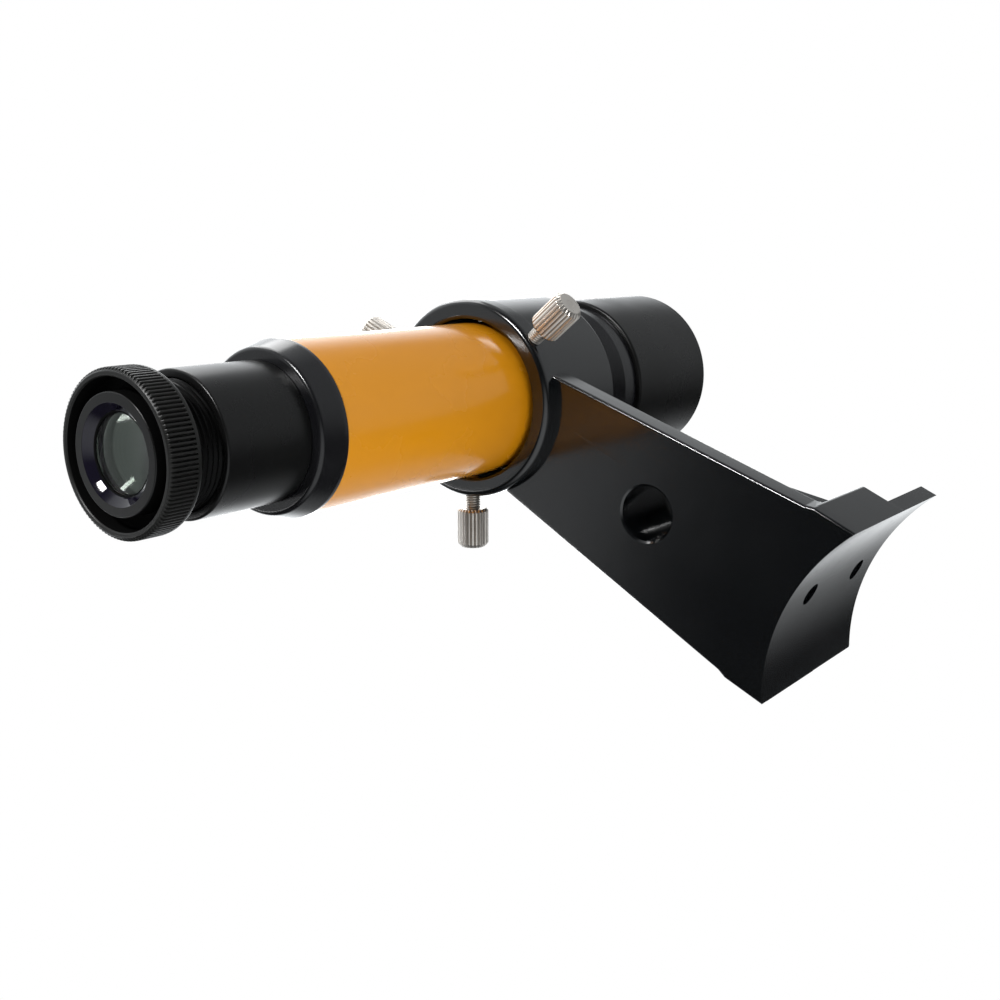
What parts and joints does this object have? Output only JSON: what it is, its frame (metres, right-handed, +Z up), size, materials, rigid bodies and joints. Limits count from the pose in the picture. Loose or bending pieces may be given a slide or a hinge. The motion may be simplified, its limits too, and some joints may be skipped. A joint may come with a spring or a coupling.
{
  "type": "finder scope",
  "caption": "Small straight-through finder scope on a plastic bracket with a saddle foot, a ring with alignment thumbscrews and a screw-focus eyepiece.",
  "frame": {"origin": "centre of the two foot holes, on the crown of the saddle", "axes": "+Y along the optical axis from the eyepiece to the objective, +Z up from the foot to the tube, +X to the right of a user looking through it"},
  "size_m": [0.0568, 0.15, 0.1097],
  "materials": {
    "bracket_plastic": "gloss moulded black, slight sheen",
    "gloss_plastic": "gloss moulded black",
    "satin_plastic": "satin moulded black",
    "tube_paint": "gloss golden orange paint",
    "nickel": "bright nickel plate",
    "optical_glass": "polished, coated",
    "o_ring_rubber": "plain black",
    "black_metal": "black anodised",
    "wire": "fine drawn wire"
  },
  "bodies": {
    "bracket": {"bracket": "bracket_plastic"},
    "pivot": {"pivot_o_ring": "o_ring_rubber"},
    "tube": {"main_tube": "tube_paint", "rear_collar": "gloss_plastic", "eyepiece_barrel": "satin_plastic", "reticle_ring": "black_metal", "crosswires": "wire", "reticle_retainer": "black_metal", "baffle_ring": "black_metal", "objective_cell": "gloss_plastic", "dew_shield": "satin_plastic", "aperture_stop": "black_metal", "objective_spacer": "black_metal", "objective_lens": "optical_glass", "objective_retaining_ring": "black_metal"},
    "eyepiece_optics": {"eye_lens": "optical_glass", "lens_spacer": "black_metal", "field_lens": "optical_glass", "field_lens_retainer": "black_metal"},
    "eyepiece": {"focus_ring": "gloss_plastic", "eyepiece_cell": "satin_plastic", "eye_bezel": "gloss_plastic"},
    "screw_left_stud": {"stud_left": "nickel"},
    "screw_left_head": {"head_left": "nickel"},
    "screw_right_stud": {"stud_right": "nickel"},
    "screw_right_head": {"head_right": "nickel"},
    "screw_top_stud": {"stud_top": "nickel"},
    "screw_top_head": {"head_top": "nickel"}
  },
  "joints": [
    {"name": "finder_tilt", "type": "hinge", "parent": "bracket", "child": "pivot", "pos_m": [0, -0.0045, 0.075], "axis": [1, 0, 0], "range_deg": [-1.5, 1.5]},
    {"name": "finder_pan", "type": "hinge", "parent": "pivot", "child": "tube", "pos_m": [0, -0.0045, 0.075], "axis": [0, 0, 1], "range_deg": [-1.5, 1.5]},
    {"name": "eyepiece_travel", "type": "slide", "parent": "tube", "child": "eyepiece_optics", "axis": [0, -1, 0], "range_m": [-0.002, 0.005]},
    {"name": "focus_turn", "type": "hinge", "parent": "eyepiece_optics", "child": "eyepiece", "pos_m": [0, -0.1, 0.075], "axis": [0, -1, 0], "range_deg": [-720, 1800]},
    {"name": "screw_left_travel", "type": "slide", "parent": "bracket", "child": "screw_left_stud", "axis": [-0.9063, 0, -0.4226], "range_m": [0, 0.003]},
    {"name": "screw_left_turn", "type": "hinge", "parent": "screw_left_stud", "child": "screw_left_head", "pos_m": [-0.02447, -0.0227, 0.06359], "axis": [-0.9063, 0, -0.4226], "range_deg": [0, 2160]},
    {"name": "screw_right_travel", "type": "slide", "parent": "bracket", "child": "screw_right_stud", "axis": [0.9063, 0, -0.4226], "range_m": [0, 0.003]},
    {"name": "screw_right_turn", "type": "hinge", "parent": "screw_right_stud", "child": "screw_right_head", "pos_m": [0.02447, -0.0227, 0.06359], "axis": [0.9063, 0, -0.4226], "range_deg": [0, 2160]},
    {"name": "screw_top_travel", "type": "slide", "parent": "bracket", "child": "screw_top_stud", "axis": [0, 0, 1], "range_m": [0, 0.003]},
    {"name": "screw_top_turn", "type": "hinge", "parent": "screw_top_stud", "child": "screw_top_head", "pos_m": [0, -0.0227, 0.102], "axis": [0, 0, 1], "range_deg": [0, 2160]}
  ],
  "couplings": [
    {"joint": "eyepiece_travel", "follows": "focus_turn", "m_per_rad": 0.000159},
    {"joint": "screw_left_turn", "follows": "screw_left_travel", "rad_per_m": 12560},
    {"joint": "screw_right_turn", "follows": "screw_right_travel", "rad_per_m": 12560},
    {"joint": "screw_top_turn", "follows": "screw_top_travel", "rad_per_m": 12560}
  ]
}
